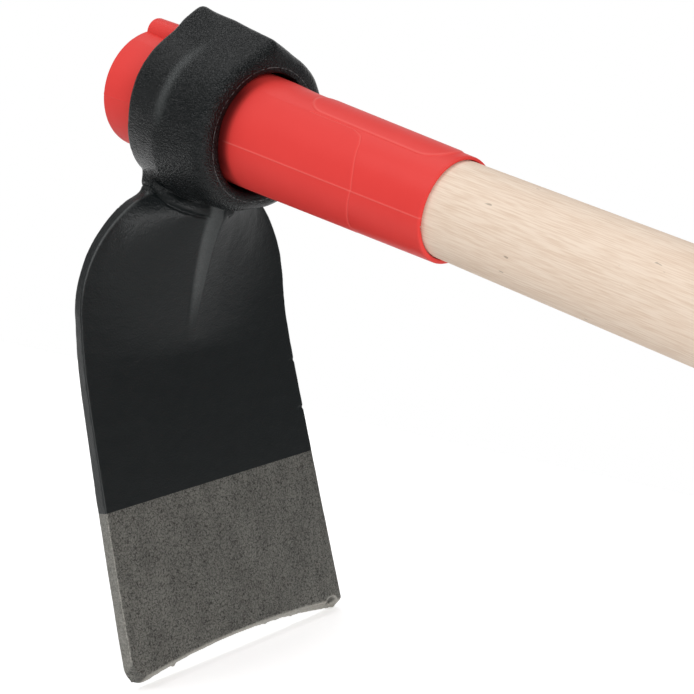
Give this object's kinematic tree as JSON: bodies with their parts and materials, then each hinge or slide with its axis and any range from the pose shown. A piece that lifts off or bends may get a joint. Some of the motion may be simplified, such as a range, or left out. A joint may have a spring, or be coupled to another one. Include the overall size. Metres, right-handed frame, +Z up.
{
  "type": "garden hoe",
  "caption": "Long handled garden hoe: a forged steel head with a broad blade slides down a round wooden handle and jams on a tapered plastic sleeve.",
  "frame": {"origin": "centre of the hoe's footprint on the floor, with the hoe resting on its blade's lower corners and on the rim of the handle's butt", "axes": "+Z up; +X along the hoe from the head to the handle's butt; +Y to the right of a user who holds the butt and looks at the head"},
  "size_m": [0.985, 0.1258, 0.2834],
  "materials": {
    "forged_head": "black lacquer over a forged surface, bare shot-blasted steel towards the cutting edge",
    "eye_sleeve": "satin moulded red",
    "handle": "smooth turned pale beech"
  },
  "bodies": {
    "handle_with_sleeve": {"handle": "handle", "eye_sleeve": "eye_sleeve"},
    "head": {"forged_head": "forged_head"}
  },
  "joints": [
    {"name": "head_slide", "type": "slide", "parent": "handle_with_sleeve", "child": "head", "axis": [0.9729, 0, -0.2313], "range_m": [0, 0.92]}
  ]
}
